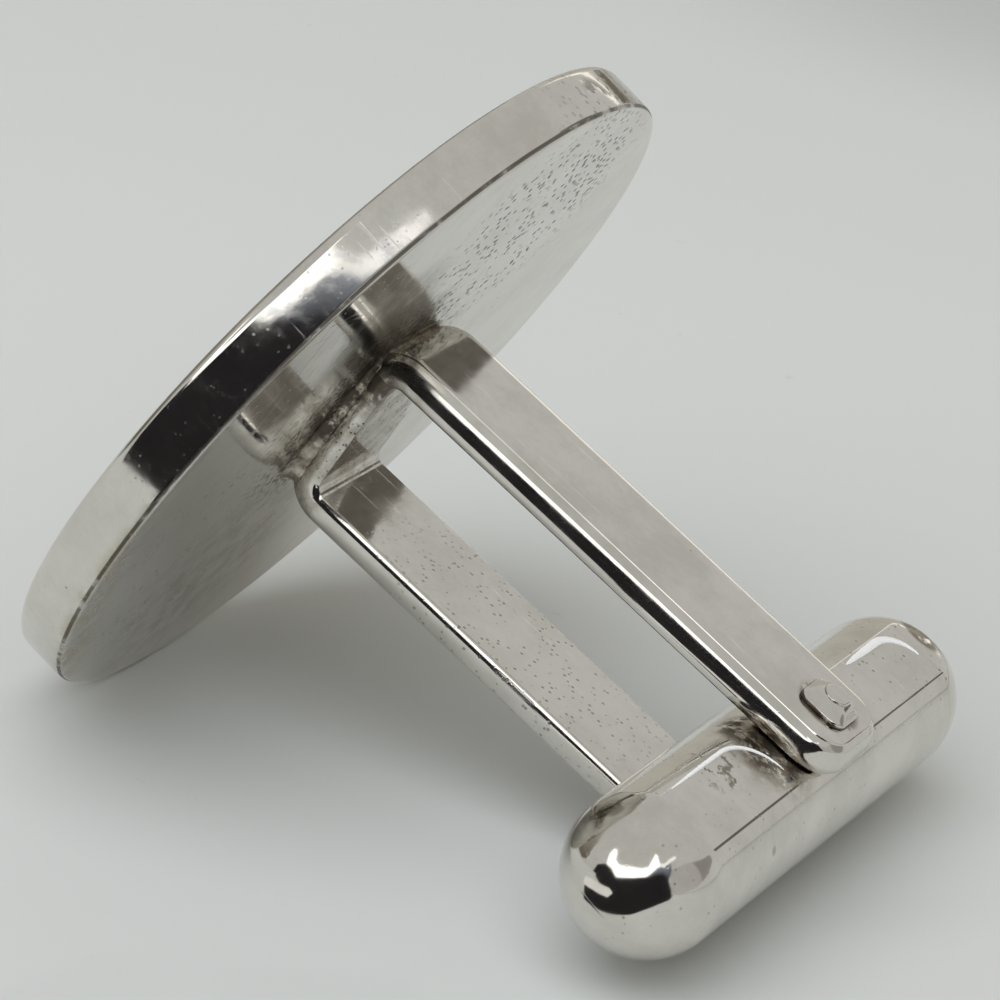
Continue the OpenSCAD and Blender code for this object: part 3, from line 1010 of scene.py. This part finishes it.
def makeTable():
    p = table
    material, tree = newMaterial("paleTable")
    place = add(tree, "ShaderNodeTexCoord").outputs["Object"]
    flecks = ramp(tree, noise(tree, place, p["fleckScale"], "flecked"), *p["fleckCover"])
    # Painted light: the table's colour runs from shaded near the camera to lit far from it
    centred = vectorMaths(tree, "SUBTRACT", place, tableOrigin)
    away = vectorMaths(tree, "DOT_PRODUCT", centred, tableAway - tableRight * p["shadeFalloffTurn"], "Value")
    colour = blend(tree, ramp(tree, away, *p["shadeFalloff"]), p["nearShadedColour"], p["farLitColour"])
    colour = blend(tree, product(tree, flecks, p["fleckShare"]), colour, p["fleck"])
    # Painted shadow: a soft darker patch on the table, far off to the right
    toSpot = vectorMaths(tree, "DISTANCE", place, onTable @ p["paintedShadowSpot"], "Value")
    colour = blend(tree, ramp(tree, toSpot, *p["paintedShadowReach"]), colour, blend(tree, 1.0, colour, p["paintedShadowTint"], "MULTIPLY"))
    surface = add(tree, "ShaderNodeBsdfPrincipled", {
        "Base Color": colour, "Roughness": p["roughness"], "Specular IOR Level": p["specular"]})
    clear = add(tree, "ShaderNodeBsdfTransparent")
    behind = add(tree, "ShaderNodeNewGeometry").outputs["Backfacing"]
    seen = add(tree, "ShaderNodeLightPath").outputs["Is Camera Ray"]
    oneSided = add(tree, "ShaderNodeMixShader", {
        0: product(tree, behind, seen), 1: surface.outputs[0], 2: clear.outputs[0]})
    closeMaterial(tree, oneSided)
    turns = [math.tau * i / p["steps"] for i in range(p["steps"])]
    points = [(p["radius"] * math.cos(t), p["radius"] * math.sin(t), 0) for t in turns]
    mesh = bpy.data.meshes.new("table")
    mesh.from_pydata(points, [], [tuple(range(p["steps"]))])
    mesh.transform(onTable)
    mesh.materials.append(material)
    top = addObject("table", mesh)


makeTable()


# Flags and reflectors round the table, and painted shadows on it, seen only in the metal

nearEnd = onPin @ Vector((0, -bullet["Barrel"], 0))
nearGround = onTable.inverted() @ nearEnd
nearGround.z = 0

# Azimuth 0 is away from the camera and 90 is to its right, the spans are degrees above the table,
# and a card with a second glow fades to it at its top
cards = {
    "blackFlag": {
        "azimuths": (-106, -108, -118, -128, -139, -148, -160, -170, -183, -193, -202, -210, -214),
        "low": (-1,) * 13,
        "high": (1, 9.6, 16, 15.7, 9, 12, 15.7, 18.5, 21, 25, 26, 19, 5),
        "glow": (0.02, 0.018, 0.02),
    },
    "whiteReflector": {
        "azimuths": (-114, -119, -125, -129, -139, -148, -160, -170, -180, -183, -187, -190, -194, -197),
        "low": (28, 17, 16, 15.5, 9, 12, 15.7, 18.5, 21.5, 24.6, 28.5, 31.5, 34.7, 35.8),
        "high": (36, 38, 34, 27, 25, 28, 30, 31, 35, 42, 49, 53, 51, 42),
        "glow": (1.8, 1.8, 1.78),
    },
    "whiteArc": {
        "azimuths": (-197, -200, -205, -210, -216, -225, -235),
        "low": (35.8, 36, 35, 37.5, 40.5, 43.5, 47),
        "high": (42, 40.5, 40, 42, 45, 47.5, 50),
        "glow": (1.25, 1.25, 1.25),
    },
    "bluePanel": {
        "azimuths": (-178, -183, -187, -190, -194, -197, -202, -205, -210, -216),
        "low": (20, 21, 22.6, 23.8, 25.1, 25.4, 26, 23, 19, 30),
        "high": (20.9, 24.6, 28.5, 31.5, 34.7, 35.8, 35.6, 35, 37.5, 40.5),
        "glow": (0.03, 0.03, 0.036),
        "glowTop": (0.3, 0.33, 0.39),
    },
    "window": {
        "azimuths": (15.5, 19, 22, 25, 27.5),
        "low": (27, 17, 12, 9, 9),
        "high": (36, 34, 25, 20, 13),
        "glow": (1.25, 1.2, 1.08),
    },
    "farShelf": {
        "azimuths": (-12, 0, 8, 13, 15),
        "low": (-2, -2, -4, -4, 2),
        "high": (17, 20, 27, 24, 12),
        "glow": (0.5, 0.48, 0.43),
    },
    "leftShelf": {
        "azimuths": (-88, -75, -60, -45, -30, -12),
        "low": (3, -2, -2, -2, -2, -2),
        "high": (24, 38, 42, 42, 34, 24),
        "glow": (0.13, 0.115, 0.085),
        "glowTop": (0.46, 0.44, 0.39),
    },
    "brownDoor": {
        "azimuths": (16, 25),
        "low": (1.5, 1.5),
        "high": (7, 7),
        "glow": (0.17, 0.15, 0.11),
    },
    "darkDoor": {
        "azimuths": (44, 50, 60),
        "low": (13, 14, 14),
        "high": (26, 29, 30),
        "glow": (0.15, 0.14, 0.125),
    },
    "shadedWall": {
        "azimuths": (75, 90, 101),
        "low": (15, 9, 6),
        "high": (32, 34, 35),
        "glow": (0.3, 0.29, 0.27),
    },
    "greyWall": {
        "azimuths": (101, 110, 130, 146),
        "low": (6, 3, 0, 0),
        "high": (35, 36, 34, 30),
        "glow": (0.46, 0.46, 0.445),
    },
    "nearCard": {
        "azimuths": (-102, -104, -117, -138, -143),
        "low": (-15.4, -15.4, -15.4, -15.3, -9),
        "high": (-10, -6.8, -4.4, -4.2, -7.2),
        "glow": (0.85, 0.85, 0.83),
        "distance": 11 * mm,
    },
}
cardDistance = 500 * mm

# Each painted shadow on the table is a dark sheet seen only in the metal, given as an outline in millimetres right of
# and beyond the toggle's near end
shadowSheets = {
    "paintedShadowSheet": {
        "outline": ((-480, -180), (-60, -25), (-26, -14.5), (-20, -13), (-12.5, -3), (-5.4, -1.8), (-3.3, -3.8),
                    (-1.1, -6.3), (0.4, -8.9), (5, -15.2), (19, -29.6), (300, -400), (0, -505), (-360, -360)),
        "glow": (0.02, 0.019, 0.02),
        "height": 0.1 * mm,
    },
}


def glowing(name, points, faces, glows):
    # A plain card, lit at each of its points by the glow given for it
    material, tree = newMaterial(name)
    colour = add(tree, "ShaderNodeAttribute", attribute_name="glow").outputs["Color"]
    closeMaterial(tree, add(tree, "ShaderNodeEmission", {"Color": colour}))
    mesh = bpy.data.meshes.new(name)
    mesh.from_pydata([tuple(q) for q in points], [], faces)
    levels = mesh.color_attributes.new("glow", "FLOAT_COLOR", "POINT")
    for level, glow in zip(levels.data, glows):
        level.color = (*glow, 1)
    mesh.materials.append(material)
    card = addObject(name, mesh)
    card.visible_camera = False
    card.visible_diffuse = False
    card.visible_shadow = False
    card.visible_transmission = False


def wayTo(azimuth, elevation):
    a, e = math.radians(azimuth), math.radians(elevation)
    return Vector((math.sin(a) * math.cos(e), math.cos(a) * math.cos(e), math.sin(e)))


def makeCards():
    for name, p in cards.items():
        points = []
        for azimuth, low, high in zip(p["azimuths"], p["low"], p["high"]):
            for elevation in (low, high):
                way = onTable.to_3x3() @ wayTo(azimuth, elevation)
                points.append(nearEnd + way * p.get("distance", cardDistance))
        faces = [(2 * i, 2 * i + 2, 2 * i + 3, 2 * i + 1) for i in range(len(p["azimuths"]) - 1)]
        glowing(name, points, faces, [p["glow"], p.get("glowTop", p["glow"])] * len(p["azimuths"]))
    for name, p in shadowSheets.items():
        points = [onTable @ (nearGround + Vector((x * mm, y * mm, p["height"]))) for x, y in p["outline"]]
        glowing(name, points, [tuple(range(len(points)))], [p["glow"]] * len(points))


makeCards()


# Soft box and room

softBox = {
    "azimuth": -160,
    "elevation": 54,
    "distance": 400 * mm,
    "width": 640 * mm,
    "power": 2.28,
    "colour": (0.96, 1.0, 1.045),
}
room = {
    "seen": (0.575, 0.578, 0.56),
    "onTable": (0.335, 0.315, 0.27),
}


def makeLights():
    p = softBox
    lamp = bpy.data.lights.new("softBox", "AREA")
    lamp.shape = "DISK"
    lamp.size = p["width"]
    lamp.energy = p["power"]
    lamp.color = p["colour"]
    box = addObject("softBox", lamp)
    spot = onTable @ (wayTo(p["azimuth"], p["elevation"]) * p["distance"])
    aim = (tableOrigin - spot).to_track_quat("-Z", "Y")
    box.matrix_world = Matrix.Translation(spot) @ aim.to_matrix().to_4x4()
    box.visible_glossy = False
    world = bpy.data.worlds.new("room")
    scene.world = world
    world.use_nodes = True
    tree = world.node_tree
    sky = tree.nodes["Background"]
    # The room that the metal shows is brighter than the part of it that reaches the table
    bounced = maths(tree, "MINIMUM", add(tree, "ShaderNodeLightPath").outputs["Diffuse Depth"], 1.0)
    tree.links.new(blend(tree, bounced, room["seen"], room["onTable"]), sky.inputs["Color"])
    sky.inputs["Strength"].default_value = 1.0
    scene.view_settings.view_transform = "Standard"


makeLights()
print("stage done")
